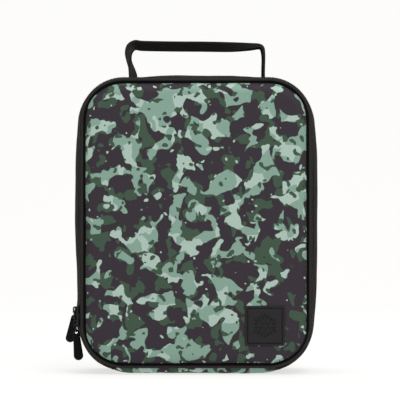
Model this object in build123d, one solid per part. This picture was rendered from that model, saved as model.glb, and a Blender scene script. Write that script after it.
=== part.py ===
"""Insulated cooler bag for a packed lunch: an upright, padded clamshell.

The front panel is the lid. It folds down about the piping along its bottom edge once the zip is open.
The zip runs up one side, over the top and down the other, and its two sliders park low on the left.
A folded webbing handle stands on the top.
Millimetres, +Z up, -Y to the front, origin on the floor under the middle of the base.
"""

from build123d import *
from collections import namedtuple
import os

Outline = namedtuple("Outline", "half_width low high radius")

# The line that the piping follows on the front and back, and the fullest line of the sides between them.
SEAM = Outline(half_width=103.9, low=6.0, high=267.3, radius=38.0)
BULGE = Outline(half_width=112.5, low=0.0, high=272.6, radius=58.0)
SEAM_DEPTH = 40.0
PIPING_RADIUS = 1.8

# Layers of the padded walls.
FABRIC = 0.8
WALL_FOAM = 4.0
LINING = 0.6
PANEL_FACE = 45.0
PANEL_LINING_FACE = 38.6
PANEL_EDGE_GAP = 2.2
PANEL_EDGE_ROUNDING = 4.5
BINDING_THICKNESS = 1.5
BINDING_OUTER = 4.2
BINDING_INNER = 8.0

# The zip, from the lid's band to the sides behind it.
ZIP_DEPTH = -23.0
ZIP_LOW = 10.0
BAND_GROW = 1.6
BAND_THICKNESS = 0.8
BAND_BACK = -30.0
TAPE_GROW = 0.8
TAPE_THICKNESS = 0.6
TAPE_REACH = 10.2
COIL_THICKNESS = 1.6
COIL_WIDTH = 2.8
COIL_HALF_GAP = 0.65
LID_CLEARANCE = 0.3
SIDES_FRONT = -14.0
PADDING_FRONT = -12.0
SIDES_BACK = 38.0
BASE_FRONT = -36.0
BASE_FLAT_HALF = 33.0

# The fabric tabs over the ends of the zip, on the lower corners.
END_TAB_THICKNESS = 1.4
END_TAB_INNER = 70.0
END_TAB_OUTER = 95.0
END_TAB_FRONT = -31.0
END_TAB_BACK = -15.0
END_TAB_LOW = 3.0
END_TAB_HIGH = 9.8

# Sliders and their pulls.
UPPER_SLIDER_HEIGHT = 57.4
LOWER_SLIDER_HEIGHT = 45.0
SLIDER_LENGTH = 10.0
SLIDER_WIDTH = 8.8
SLIDER_PLATE = 1.3
SLIDER_CORNER = 2.4
SLIDER_ROUNDING = 0.6
SLIDER_CLEARANCE = 0.55
SLIDER_POST_HALF = 0.3
SLIDER_POST_LOW = -2.5
SLIDER_POST_HIGH = 3.5
BAIL_HEIGHT = 4.0
BAIL_LENGTH = 6.4
BAIL_WIDTH = 1.8
BAIL_ROUNDING = 1.8
BAIL_EYE_LOW = 0.25
BAIL_EYE_HEIGHT = 3.0
BAIL_EYE_LENGTH = 3.8
BAIL_EYE_ROUNDING = 1.2
LINK_WIRE = 0.5
LINK_HALF_WIDTH = 2.8
LINK_LENGTH = 7.2
LINK_CORNER = 1.0
PULL_EYE = 1.5
PULL_TOP = 2.6
PULL_END = 4.0
PULL_REACH = 21.2
PULL_THICKNESS = 3.4
PULL_ROUNDING = 1.2
LINK_SLACK = 0.1

# How each pull hangs: degrees outward from the bag's side, then degrees towards the back.
UPPER_PULL_LEAN = (12.0, 24.0)
LOWER_PULL_LEAN = (-6.0, -10.0)

# The handle.
HANDLE_DEPTH = 8.0
HANDLE_HALF_SPAN = 61.0
WEBBING_WIDTH = 20.0
WEBBING_THICKNESS = 2.4
HANDLE_PIVOT = 284.0
HANDLE_GRIP_LOW = 294.5
HANDLE_TOP = 304.5
GRIP_THICKNESS = 5.2
HANDLE_CORNER = 7.0
LEG_TAPER_BELOW = 4.0
LEG_TOP_BELOW = 2.0
ANCHOR_LOW = 269.4
ANCHOR_TOP = 273.6
BACKING_THICKNESS = 1.0
BACKING_SIZE = 24.0

# The front badge.
BADGE_X = 62.0
BADGE_Z = 44.2
BADGE_SIZE = 36.2
BADGE_FLANGE = 2.6
BADGE_CORNER = 1.8
BADGE_FLANGE_THICKNESS = 1.0
BADGE_THICKNESS = 1.9

# The mesh pocket inside the lid.
POCKET_HALF_WIDTH = 80.0
POCKET_LOW = 28.0
POCKET_HIGH = 150.0
POCKET_DEPTH = 6.4
MESH_THICKNESS = 0.6
EDGING_WIDTH = 6.0
HEM_HEIGHT = 7.0
HEM_THICKNESS = 1.4

# The care label sewn into the back lining.
LABEL_X = 70.0
LABEL_Z = 41.0
LABEL_WIDTH = 24.0
LABEL_HEIGHT = 34.0
LABEL_THICKNESS = 0.5

# Longer than the bag, for cutting it.
FAR = 400.0


def grown(shape, amount):
    """The outline moved outward by an even amount."""
    return Outline(shape.half_width + amount, shape.low - amount, shape.high + amount, shape.radius + amount)


def between(first, second, share):
    """An outline part of the way from one to another."""
    return Outline(*(a + (b - a) * share for a, b in zip(first, second)))


def face_at(shape, depth):
    """The outline as a face across the bag at that depth."""
    middle = Plane(origin=(0, depth, (shape.low + shape.high) / 2), x_dir=(1, 0, 0), z_dir=(0, -1, 0))
    return middle * RectangleRounded(2 * shape.half_width, shape.high - shape.low, shape.radius)


def slab(shape, front, back):
    return extrude(face_at(shape, front), amount=back - front, dir=(0, 1, 0))


def ring(outer, inner, front, back):
    return slab(outer, front, back) - slab(inner, front, back)


def span(x_low, x_high, y_low, y_high, z_low, z_high):
    """A plain block between two corners."""
    centre = Pos((x_low + x_high) / 2, (y_low + y_high) / 2, (z_low + z_high) / 2)
    return centre * Box(x_high - x_low, y_high - y_low, z_high - z_low)


def above(height):
    return span(-FAR, FAR, -FAR, FAR, height, height + 2 * FAR)


def below(height):
    return span(-FAR, FAR, -FAR, FAR, height - 2 * FAR, height)


def mirrored(shape):
    """The same piece on the bag's other side."""
    return mirror(shape, about=Plane.YZ)


def layer(stations, outer_inset, inner_inset):
    """One layer of a padded wall: the space between the wall's outer surface, set in by two amounts."""
    outer = loft([face_at(grown(shape, -outer_inset), depth) for depth, shape in stations], ruled=True)
    inner = loft([face_at(grown(shape, -inner_inset), depth) for depth, shape in stations], ruled=True)
    return outer - inner


# ---- walls ----

WALL_EDGE = grown(SEAM, BAND_GROW)

# How full the sides and top are at each depth, from the zip to the back seam.
SIDE_STATIONS = [
    (SIDES_FRONT, WALL_EDGE),
    (-4.0, between(WALL_EDGE, BULGE, 0.8)),
    (HANDLE_DEPTH, BULGE),
    (22.0, between(WALL_EDGE, BULGE, 0.8)),
    (SIDES_BACK, WALL_EDGE),
]
BASE_STATIONS = [
    (BASE_FRONT, WALL_EDGE),
    (-BASE_FLAT_HALF, BULGE),
    (BASE_FLAT_HALF, BULGE),
    (SIDES_BACK, WALL_EDGE),
]
WALL_LAYERS = {
    "fabric": (0.0, FABRIC),
    "foam": (FABRIC, FABRIC + WALL_FOAM),
    "lining": (FABRIC + WALL_FOAM, FABRIC + WALL_FOAM + LINING),
}


def panel_layers(direction):
    """The outer fabric, foam and lining of the front panel (direction -1) or back panel (direction 1)."""
    edge = grown(SEAM, -PANEL_EDGE_GAP)
    inner_edge = grown(edge, -FABRIC)

    def between_depths(shape, near, far):
        return slab(shape, min(direction * near, direction * far), max(direction * near, direction * far))

    def padded(shape, face, rounding):
        block = between_depths(shape, PANEL_LINING_FACE, face)
        outer_edges = block.faces().sort_by(Axis.Y)[0 if direction < 0 else -1].edges()
        return fillet(outer_edges, rounding)

    whole = padded(edge, PANEL_FACE, PANEL_EDGE_ROUNDING)
    foam = padded(inner_edge, PANEL_FACE - FABRIC, PANEL_EDGE_ROUNDING - FABRIC)
    lining = between_depths(inner_edge, PANEL_LINING_FACE - LINING, PANEL_LINING_FACE)
    return {"fabric": whole - foam, "foam": foam, "lining": lining}


def piping(direction):
    """The round cord in its bias fabric, all round a panel."""
    path = face_at(SEAM, direction * SEAM_DEPTH).face().outer_wire()
    start = path @ 0
    section = Plane(origin=start, z_dir=path % 0) * Circle(PIPING_RADIUS)
    return sweep(section, path=path)


def seam_binding(direction):
    """The bound seam allowance that shows inside, all round a panel."""
    face = direction * (PANEL_LINING_FACE - LINING)
    step = face - direction * BINDING_THICKNESS
    outer = grown(SEAM, -BINDING_OUTER)
    return ring(outer, grown(SEAM, -BINDING_INNER), min(face, step), max(face, step))


def side_wall(kind):
    wall = layer(SIDE_STATIONS, *WALL_LAYERS[kind]) & above(ZIP_LOW)
    if kind == "fabric":
        return wall
    return wall - span(-FAR, FAR, SIDES_FRONT - 1, PADDING_FRONT, 0, FAR)


def base_wall(kind):
    return layer(BASE_STATIONS, *WALL_LAYERS[kind]) & below(ZIP_LOW)


def badge():
    """A square rubber patch with a thin sewn flange and a raised middle."""
    outward = Plane(origin=(BADGE_X, -PANEL_FACE, BADGE_Z), x_dir=(1, 0, 0), z_dir=(0, -1, 0))
    inner_size = BADGE_SIZE - 2 * BADGE_FLANGE
    flange = RectangleRounded(BADGE_SIZE, BADGE_SIZE, BADGE_CORNER)
    middle = RectangleRounded(inner_size, inner_size, BADGE_CORNER / 2)
    flange = extrude(outward * flange, amount=BADGE_FLANGE_THICKNESS)
    middle = extrude(outward * middle, amount=BADGE_THICKNESS)
    return flange + middle


# ---- the zip ----

def zip_strip(outer_grow, thickness, front, back, low):
    """A strip that runs up one side, over the top and down the other."""
    return ring(grown(SEAM, outer_grow), grown(SEAM, outer_grow - thickness), front, back) & above(low)


def zip_end_tab():
    """The folded fabric tab over the left end of the zip, low on the corner."""
    patch = ring(grown(BULGE, END_TAB_THICKNESS), BULGE, END_TAB_FRONT, END_TAB_BACK)
    end = span(-END_TAB_OUTER, -END_TAB_INNER, END_TAB_FRONT, END_TAB_BACK, END_TAB_LOW, END_TAB_HIGH)
    return patch & end


def slider_faces():
    """How far out the inner plate's face, the outer plate's inner face and its outer face are."""
    tape_face = SEAM.half_width + TAPE_GROW
    inner_face = tape_face - TAPE_THICKNESS - SLIDER_CLEARANCE
    channel_face = tape_face + COIL_THICKNESS + SLIDER_CLEARANCE
    return inner_face, channel_face, channel_face + SLIDER_PLATE


def slider():
    """A slider upright on the left side, with its middle at height 0 and its channel on the zip's line."""
    inner_face, channel_face, outer_face = slider_faces()
    half_width = SLIDER_WIDTH / 2
    half_length = SLIDER_LENGTH / 2
    post_front = ZIP_DEPTH - SLIDER_POST_HALF
    post_back = ZIP_DEPTH + SLIDER_POST_HALF

    def plate(face):
        block = span(-face, SLIDER_PLATE - face, ZIP_DEPTH - half_width, ZIP_DEPTH + half_width,
                     -half_length, half_length)
        return fillet(block.edges().filter_by(Axis.X), SLIDER_CORNER)

    outer = plate(outer_face)
    outer = fillet(outer.faces().sort_by(Axis.X)[0].edges(), SLIDER_ROUNDING)
    inner = plate(inner_face)
    post = span(-channel_face, -inner_face, post_front, post_back, SLIDER_POST_LOW, SLIDER_POST_HIGH)
    bail = span(-outer_face - BAIL_HEIGHT, -outer_face, ZIP_DEPTH - BAIL_WIDTH / 2,
                ZIP_DEPTH + BAIL_WIDTH / 2, -BAIL_LENGTH / 2, BAIL_LENGTH / 2)
    bail = fillet(bail.faces().sort_by(Axis.X)[0].edges().filter_by(Axis.Y), BAIL_ROUNDING)
    eye_face = outer_face + BAIL_EYE_LOW
    eye = span(-eye_face - BAIL_EYE_HEIGHT, -eye_face, ZIP_DEPTH - BAIL_WIDTH, ZIP_DEPTH + BAIL_WIDTH,
               -BAIL_EYE_LENGTH / 2, BAIL_EYE_LENGTH / 2)
    eye = fillet(eye.edges().filter_by(Axis.Y), BAIL_EYE_ROUNDING)
    return outer + inner + post + (bail - eye)


def pull_pin():
    """Where a pull's link passes through the bail of a slider at height 0."""
    outer_face = slider_faces()[2]
    return Pos(-outer_face - BAIL_EYE_LOW - BAIL_EYE_HEIGHT / 2, ZIP_DEPTH, 0)


def link():
    """The wire link of a pull that hangs straight down from the origin."""
    across = Plane(origin=(0, 0, -LINK_LENGTH / 2), x_dir=(0, 1, 0), z_dir=(1, 0, 0))
    path = (across * RectangleRounded(2 * LINK_HALF_WIDTH, LINK_LENGTH, LINK_CORNER)).face().outer_wire()
    section = Plane(origin=path @ 0, z_dir=path % 0) * Circle(LINK_WIRE)
    return sweep(section, path=path)


def pull_tab():
    """The moulded rubber tab that hangs on the link, wider towards its rounded end."""
    eye_drop = LINK_LENGTH + PULL_EYE - LINK_WIRE - LINK_SLACK
    side = Plane(origin=(0, PULL_THICKNESS / 2, -eye_drop), x_dir=(1, 0, 0), z_dir=(0, -1, 0))
    top = Circle(PULL_TOP)
    end = Pos(0, -PULL_REACH) * Circle(PULL_END)
    profile = make_hull(top.edges() + end.edges())
    body = extrude(side * profile, amount=PULL_THICKNESS)
    for end_face in (0, -1):
        body = fillet(body.faces().sort_by(Axis.Y)[end_face].edges(), PULL_ROUNDING)
    return body - extrude(side * Circle(PULL_EYE), amount=PULL_THICKNESS)


def hanging(lean, height, piece):
    """Hangs a link or tab from the slider at that height, at its own lean."""
    outward, rearward = lean
    return Pos(0, 0, height) * pull_pin() * Rot(0, outward, 0) * Rot(rearward, 0, 0) * piece


# ---- the handle ----

def handle_webbing():
    """One strap: a flat leg at each end, with a rounded lower end, and a folded grip between them."""
    half = WEBBING_THICKNESS / 2
    edge = WEBBING_WIDTH / 2
    pivot = (HANDLE_HALF_SPAN - half, HANDLE_DEPTH, HANDLE_PIVOT)
    leg_outline = Plane(origin=pivot, x_dir=(0, 1, 0), z_dir=(1, 0, 0))
    shoulder = HANDLE_GRIP_LOW - HANDLE_PIVOT
    taper_start = shoulder - LEG_TAPER_BELOW
    leg_top = HANDLE_TOP - HANDLE_PIVOT - LEG_TOP_BELOW
    tapered = Polygon((-edge, 0), (edge, 0), (edge, taper_start), (GRIP_THICKNESS / 2, leg_top),
                      (-GRIP_THICKNESS / 2, leg_top), (-edge, taper_start), align=None)
    leg = extrude(leg_outline * (tapered + Circle(edge)), amount=WEBBING_THICKNESS)
    outer = HANDLE_HALF_SPAN + half
    grip = span(-outer, outer, HANDLE_DEPTH - GRIP_THICKNESS / 2, HANDLE_DEPTH + GRIP_THICKNESS / 2,
                HANDLE_GRIP_LOW, HANDLE_TOP)
    ends = grip.edges().filter_by(Axis.Y).group_by(Axis.Z)[-1]
    grip = fillet(ends, HANDLE_CORNER)
    return leg + mirrored(leg) + grip


def handle_anchor():
    """The left end of the webbing where it goes down through the top and is sewn in."""
    half = WEBBING_THICKNESS / 2
    return span(-HANDLE_HALF_SPAN - half, -HANDLE_HALF_SPAN + half, HANDLE_DEPTH - WEBBING_WIDTH / 2,
                HANDLE_DEPTH + WEBBING_WIDTH / 2, ANCHOR_LOW, ANCHOR_TOP)


def handle_backing():
    """The stiff patch inside the top that the left end of the webbing is sewn to."""
    middle = Pos(-HANDLE_HALF_SPAN, HANDLE_DEPTH, ANCHOR_LOW - BACKING_THICKNESS / 2)
    return middle * Box(BACKING_SIZE, BACKING_SIZE, BACKING_THICKNESS)


# ---- the mesh pocket in the lid ----

POCKET_BACK = -(PANEL_LINING_FACE - LINING)
MESH_FACE = POCKET_BACK + POCKET_DEPTH


def pocket_mesh():
    mesh_back = MESH_FACE - MESH_THICKNESS
    return span(-POCKET_HALF_WIDTH, POCKET_HALF_WIDTH, mesh_back, MESH_FACE, POCKET_LOW, POCKET_HIGH)


def pocket_edging():
    """The folded tape that joins the mesh to the lid at its two sides and its bottom."""
    inner = POCKET_HALF_WIDTH - EDGING_WIDTH
    mesh_back = MESH_FACE - MESH_THICKNESS
    side = span(inner, POCKET_HALF_WIDTH, POCKET_BACK, mesh_back, POCKET_LOW, POCKET_HIGH)
    bottom = span(-inner, inner, POCKET_BACK, mesh_back, POCKET_LOW, POCKET_LOW + EDGING_WIDTH)
    return Compound([side, mirrored(side), bottom])


def pocket_hem():
    middle = MESH_FACE - MESH_THICKNESS / 2
    return span(-POCKET_HALF_WIDTH, POCKET_HALF_WIDTH, middle - HEM_THICKNESS / 2, middle + HEM_THICKNESS / 2,
                POCKET_HIGH, POCKET_HIGH + HEM_HEIGHT)


def care_label():
    lining_face = PANEL_LINING_FACE - LINING
    middle = Pos(LABEL_X, lining_face - LABEL_THICKNESS / 2, LABEL_Z)
    return middle * Box(LABEL_WIDTH, LABEL_THICKNESS, LABEL_HEIGHT)


def write(name, shape):
    solids = shape.solids()
    export_step(solids[0] if len(solids) == 1 else Compound(list(solids)), f"parts/{name}.step")


def main():
    os.makedirs("parts", exist_ok=True)
    parts = {}

    for place, direction in (("front", -1), ("back", 1)):
        for kind, solid in panel_layers(direction).items():
            parts[f"{place}_panel_{kind}"] = solid
        parts[f"{place}_piping"] = piping(direction)
        parts[f"{place}_seam_binding"] = seam_binding(direction)

    anchors = [handle_anchor(), mirrored(handle_anchor())]
    backings = [handle_backing(), mirrored(handle_backing())]
    for kind in WALL_LAYERS:
        wall = side_wall(kind)
        for hidden in anchors + backings:
            wall = wall - hidden
        parts[f"side_{kind}"] = wall
        parts[f"base_{kind}"] = base_wall(kind)
    parts["handle_anchor_left"], parts["handle_anchor_right"] = anchors
    parts["handle_backing_left"], parts["handle_backing_right"] = backings
    parts["handle_webbing"] = handle_webbing()

    coil_grow = TAPE_GROW + COIL_THICKNESS
    lid_low = ZIP_LOW + LID_CLEARANCE
    lid_edge = ZIP_DEPTH - COIL_HALF_GAP
    bag_edge = ZIP_DEPTH + COIL_HALF_GAP
    lid_face = -(PANEL_LINING_FACE - LINING)
    parts["lid_band"] = zip_strip(BAND_GROW, BAND_THICKNESS, lid_face, BAND_BACK, lid_low)
    parts["lid_zip_tape"] = zip_strip(TAPE_GROW, TAPE_THICKNESS, lid_edge - TAPE_REACH, lid_edge, lid_low)
    parts["lid_zip_coil"] = zip_strip(coil_grow, COIL_THICKNESS, lid_edge - COIL_WIDTH, lid_edge, lid_low)
    parts["bag_zip_tape"] = zip_strip(TAPE_GROW, TAPE_THICKNESS, bag_edge, bag_edge + TAPE_REACH, ZIP_LOW)
    parts["bag_zip_coil"] = zip_strip(coil_grow, COIL_THICKNESS, bag_edge, bag_edge + COIL_WIDTH, ZIP_LOW)
    parts["zip_end_tab_left"] = zip_end_tab()
    parts["zip_end_tab_right"] = mirrored(zip_end_tab())

    sliders = {
        "upper": (UPPER_SLIDER_HEIGHT, UPPER_PULL_LEAN),
        "lower": (LOWER_SLIDER_HEIGHT, LOWER_PULL_LEAN),
    }
    for place, (height, lean) in sliders.items():
        parts[f"{place}_slider"] = Pos(0, 0, height) * slider()
        parts[f"{place}_pull_link"] = hanging(lean, height, link())
        parts[f"{place}_pull_tab"] = hanging(lean, height, pull_tab())

    parts["badge"] = badge()
    parts["pocket_mesh"] = pocket_mesh()
    parts["pocket_edging"] = pocket_edging()
    parts["pocket_hem"] = pocket_hem()
    parts["care_label"] = care_label()

    for name, shape in parts.items():
        write(name, shape)


main()
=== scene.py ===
import math

import bpy
import numpy as np
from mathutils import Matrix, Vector, noise
from mathutils.bvhtree import BVHTree


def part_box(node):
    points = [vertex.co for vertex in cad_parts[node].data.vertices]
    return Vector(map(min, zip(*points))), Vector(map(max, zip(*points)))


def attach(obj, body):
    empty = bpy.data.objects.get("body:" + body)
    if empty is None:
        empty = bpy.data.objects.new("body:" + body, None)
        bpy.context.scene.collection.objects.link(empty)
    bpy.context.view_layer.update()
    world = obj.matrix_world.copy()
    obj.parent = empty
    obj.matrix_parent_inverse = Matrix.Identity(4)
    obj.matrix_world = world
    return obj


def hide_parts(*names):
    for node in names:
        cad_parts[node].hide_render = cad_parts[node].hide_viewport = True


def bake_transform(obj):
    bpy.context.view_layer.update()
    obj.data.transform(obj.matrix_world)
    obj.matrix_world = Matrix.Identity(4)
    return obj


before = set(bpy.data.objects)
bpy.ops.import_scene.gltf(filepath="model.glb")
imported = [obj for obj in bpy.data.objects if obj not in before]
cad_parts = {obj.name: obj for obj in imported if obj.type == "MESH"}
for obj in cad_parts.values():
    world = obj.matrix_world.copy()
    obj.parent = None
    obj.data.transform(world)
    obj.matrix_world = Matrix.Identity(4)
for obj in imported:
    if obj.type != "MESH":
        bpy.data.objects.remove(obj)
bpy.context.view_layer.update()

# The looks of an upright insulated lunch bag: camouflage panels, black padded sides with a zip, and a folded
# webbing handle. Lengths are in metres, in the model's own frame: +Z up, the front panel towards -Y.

MM = 0.001
TAU = 2 * math.pi

# ---- sizes, most of them from the frame ----

PIPING_LOW, PIPING_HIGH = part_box("front_piping")
PIPING_RADIUS = (PIPING_HIGH.y - PIPING_LOW.y) / 2
SEAM_DEPTH = -(PIPING_HIGH.y + PIPING_LOW.y) / 2
HALF_WIDTH = (PIPING_HIGH.x - PIPING_LOW.x) / 2 - PIPING_RADIUS
LOW = PIPING_LOW.z + PIPING_RADIUS
HIGH = PIPING_HIGH.z - PIPING_RADIUS
CORNER = 38 * MM

PANEL_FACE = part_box("back_panel_fabric")[1].y
LINING_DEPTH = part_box("back_panel_lining")[0].y
SIDE_LOW, SIDE_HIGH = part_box("side_fabric")
SIDES_FRONT, SIDES_BACK = SIDE_LOW.y, SIDE_HIGH.y
WALL = 4.8 * MM
LINING_INSET = 5.1 * MM

# ---- the outline that the panels, piping, zip and sides share ----

BASE_RUN = HALF_WIDTH - CORNER
SIDE_RUN = HIGH - LOW - 2 * CORNER
ARC = CORNER * math.pi / 2
LOW_SIDE = BASE_RUN + ARC
HIGH_SIDE = LOW_SIDE + SIDE_RUN
HIGH_END = HIGH_SIDE + ARC
ROUND = 2 * (HIGH_END + BASE_RUN)


def outline(run):
    """Points and outward directions (x, z) along the seam line, by distance from the bottom's middle: to the
    left, up, over the top and back."""
    run = np.mod(np.asarray(run, float), ROUND)
    side = np.where(run < ROUND / 2, -1.0, 1.0)
    run = np.minimum(run, ROUND - run)
    lower = np.clip((run - BASE_RUN) / CORNER, 0, math.pi / 2)
    upper = np.clip((run - HIGH_SIDE) / CORNER, 0, math.pi / 2)
    along_top = np.maximum(run - HIGH_END, 0)
    x = np.minimum(run, BASE_RUN) + CORNER * (np.sin(lower) + np.cos(upper) - 1) - along_top
    z = LOW + CORNER * (1 - np.cos(lower) + np.sin(upper)) + np.clip(run - LOW_SIDE, 0, SIDE_RUN)
    turn = lower + upper
    return side * x, z, side * np.sin(turn), -np.cos(turn)


def run_at_height(z):
    """The distance along the outline at which its lower left corner reaches height z."""
    return BASE_RUN + CORNER * math.acos((LOW + CORNER - z) / CORNER)


def runs_above(z, count):
    """Places along the outline from height z on the left, over the top, to the same height on the right."""
    start = run_at_height(z)
    return np.linspace(start, ROUND - start, count)


ZIP_START = run_at_height(SIDE_LOW.z)
ZIP_END = ROUND - ZIP_START


def smooth(t):
    """0 to 1 without corners."""
    t = np.clip(t, 0.0, 1.0)
    return t * t * (3 - 2 * t)


def between(p0, p1, p2, p3, t):
    """A point a share t of the way from p1 to p2 on a smooth curve through four points."""
    return p1 + 0.5 * t * (p2 - p0 + t * (2 * p0 - 5 * p1 + 4 * p2 - p3 + t * (3 * (p1 - p2) + p3 - p0)))


def through(keys, at):
    """A smooth curve's values at some places, through (place, value) keys."""
    places, values = np.array(keys).T
    slopes = np.gradient(values, places)
    i = np.clip(np.searchsorted(places, at, side="right") - 1, 0, len(keys) - 2)
    width = places[i + 1] - places[i]
    t = np.clip((at - places[i]) / width, 0, 1)
    rise = values[i + 1] - values[i]
    start, end = slopes[i] * width, slopes[i + 1] * width
    return values[i] + t * (start + t * (3 * rise - 2 * start - end + t * (start + end - 2 * rise)))


# How far the sides stand out past the seam line at the bottom, half way up a side, and on top.
FULL_BOTTOM = LOW
FULL_SIDE = SIDE_HIGH.x - HALF_WIDTH
FULL_TOP = SIDE_HIGH.z - HIGH + 0.5 * MM

# The sewn bag is fuller on one side than the other. Keys are (distance from the bottom's middle, fullness).
LEFT_FULLNESS = [(0.0, FULL_BOTTOM), (BASE_RUN, FULL_BOTTOM), (BASE_RUN + ARC * 0.4, 5.7 * MM),
                 (BASE_RUN + ARC * 0.9, 6.0 * MM), (LOW_SIDE + SIDE_RUN * 0.01, 8.0 * MM),
                 (LOW_SIDE + SIDE_RUN * 0.06, 7.6 * MM), (LOW_SIDE + SIDE_RUN * 0.12, 6.4 * MM),
                 (LOW_SIDE + SIDE_RUN * 0.18, 6.5 * MM), (LOW_SIDE + SIDE_RUN * 0.4, 7.9 * MM),
                 (LOW_SIDE + SIDE_RUN * 0.7, FULL_SIDE - 0.3 * MM), (LOW_SIDE + SIDE_RUN * 0.9, 7.2 * MM),
                 (HIGH_SIDE + ARC * 0.15, 4.4 * MM), (HIGH_SIDE + ARC * 0.5, 2.9 * MM),
                 (HIGH_END - ARC * 0.15, 1.5 * MM), (HIGH_END + 6 * MM, 2.4 * MM),
                 (HIGH_END + 20 * MM, 4.4 * MM), (HIGH_END + 40 * MM, 5.6 * MM), (ROUND / 2, FULL_TOP)]
RIGHT_FULLNESS = [(0.0, FULL_BOTTOM), (BASE_RUN, FULL_BOTTOM), (BASE_RUN + ARC * 0.4, 5.4 * MM),
                  (BASE_RUN + ARC * 0.9, 4.5 * MM), (LOW_SIDE + SIDE_RUN * 0.1, 7.2 * MM),
                  (LOW_SIDE + SIDE_RUN * 0.25, 8.1 * MM), (LOW_SIDE + SIDE_RUN * 0.6, FULL_SIDE),
                  (LOW_SIDE + SIDE_RUN * 0.88, 8.1 * MM), (HIGH_SIDE + ARC * 0.12, 4.8 * MM),
                  (HIGH_SIDE + ARC * 0.5, 3.7 * MM), (HIGH_END, 3.6 * MM), (HIGH_END + 20 * MM, 5.2 * MM),
                  (ROUND / 2, FULL_TOP)]


def fullness(run):
    """How far the padded sides bulge past the seam line at the middle of their depth."""
    run = np.mod(run, ROUND)
    return np.where(run < ROUND / 2, through(LEFT_FULLNESS, run), through(RIGHT_FULLNESS, ROUND - run))


# ---- mesh helpers ----


def triples(x, y, z):
    """Points from arrays or single values of x, y and z."""
    return np.stack(np.broadcast_arrays(x, y, z), axis=-1).reshape(-1, 3)


def flipped(faces):
    """The same faces, looking the other way."""
    return [tuple(reversed(face)) for face in faces]


def add_mesh(name, points, faces, material, body=None, slot=None, replaces=()):
    """A smooth-shaded piece that rides on a body and stands for CAD nodes."""
    mesh = bpy.data.meshes.new(name)
    mesh.from_pydata([tuple(p) for p in points], [], [tuple(f) for f in faces])
    mesh.validate()
    mesh.shade_smooth()
    piece = bpy.data.objects.new(name, mesh)
    bpy.context.scene.collection.objects.link(piece)
    mesh.materials.append(material)
    if body:
        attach(piece, body)
    if replaces:
        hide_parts(*replaces)
    return piece


def grid_faces(rows, columns, wrap_rows=False, wrap_columns=False, first=0):
    """Quads over a grid of points stored row by row."""
    faces = []
    for r in range(rows if wrap_rows else rows - 1):
        for c in range(columns if wrap_columns else columns - 1):
            a, b = r * columns + c, r * columns + (c + 1) % columns
            d, e = ((r + 1) % rows) * columns + c, ((r + 1) % rows) * columns + (c + 1) % columns
            faces.append((first + a, first + b, first + e, first + d))
    return faces


def border(columns, rows):
    """The grid's rim, as indices in order round it."""
    index = np.arange(rows * columns).reshape(rows, columns)
    return np.concatenate([index[0, :-1], index[:-1, -1], index[-1, :0:-1], index[:0:-1, 0]]).tolist()


def sheet_faces(columns, rows):
    """Faces of a sheet with thickness: a grid, the same grid behind it, and the rim that joins them."""
    total = rows * columns
    faces = grid_faces(rows, columns) + flipped(grid_faces(rows, columns, first=total))
    rim = border(columns, rows)
    for a, b in zip(rim, rim[1:] + rim[:1]):
        faces.append((b, a, a + total, b + total))
    return faces


def end_caps(rows, columns):
    """The two faces that close the ends of a swept section."""
    return [tuple(range(columns)), tuple(reversed(range((rows - 1) * columns, rows * columns)))]


def set_coordinates(piece, along, across):
    """Stores distances along and across a strip, in metres, as a UV map that its material reads."""
    layer = piece.data.uv_layers.new(name="strip")
    index = np.zeros(len(piece.data.loops), int)
    piece.data.loops.foreach_get("vertex_index", index)
    values = np.stack([np.asarray(along)[index], np.asarray(across)[index]], axis=1)
    layer.data.foreach_set("uv", values.astype(np.float32).ravel())


def sweep(name, runs, section, material, closed=False, **placing):
    """Sweeps a closed section along the outline. section(runs) gives depth and outward offset, each an array
    of one row for each run and one column for each point of the section."""
    depth, out = section(runs)
    x, z, nx, nz = outline(runs)
    columns = out.shape[1]
    points = triples(x[:, None] + nx[:, None] * out, depth, z[:, None] + nz[:, None] * out)
    faces = grid_faces(len(runs), columns, wrap_rows=closed, wrap_columns=True)
    if not closed:
        faces += end_caps(len(runs), columns)
    piece = add_mesh(name, points, faces, material, **placing)
    around = np.concatenate([[0.0], np.cumsum(np.hypot(np.diff(depth[0]), np.diff(out[0])))])
    set_coordinates(piece, np.repeat(runs, columns), np.tile(around, len(runs)))
    return piece


def constant_section(corners):
    """The same section, from (depth, outward) corners, at every run."""
    depth, out = np.array(corners).T
    return lambda runs: (np.tile(depth, (len(runs), 1)), np.tile(out, (len(runs), 1)))


def rounded_strip(front, back, inner, outer, rounding):
    """Corners of a thin flat strip's section with softened edges."""
    r = min(rounding, (outer - inner) / 2, (back - front) / 2)
    return [(front, inner + r), (front, outer - r), (front + r, outer), (back - r, outer),
            (back, outer - r), (back, inner + r), (back - r, inner), (front + r, inner)]


def tube(path, radius, sides):
    """Points and faces of a round tube along a path of points, closed at both ends."""
    heading = np.gradient(path, axis=0)
    heading /= np.linalg.norm(heading, axis=1)[:, None]
    first = np.cross(heading, (0.0, 1.0, 0.0))
    weak = np.linalg.norm(first, axis=1) < 0.15
    first[weak] = np.cross(heading[weak], (0.37, 0.0, 0.93))
    first /= np.linalg.norm(first, axis=1)[:, None]
    for i in range(1, len(first)):
        level = first[i - 1] - heading[i] * np.dot(first[i - 1], heading[i])
        first[i] = level / np.linalg.norm(level)
    second = np.cross(heading, first)
    turn = np.linspace(0, TAU, sides, endpoint=False)
    ring = np.cos(turn)[None, :, None] * first[:, None, :] + np.sin(turn)[None, :, None] * second[:, None, :]
    radius = np.broadcast_to(radius, (len(path),))
    points = (path[:, None, :] + radius[:, None, None] * ring).reshape(-1, 3)
    return points, flipped(grid_faces(len(path), sides, wrap_columns=True)) + end_caps(len(path), sides)


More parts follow.
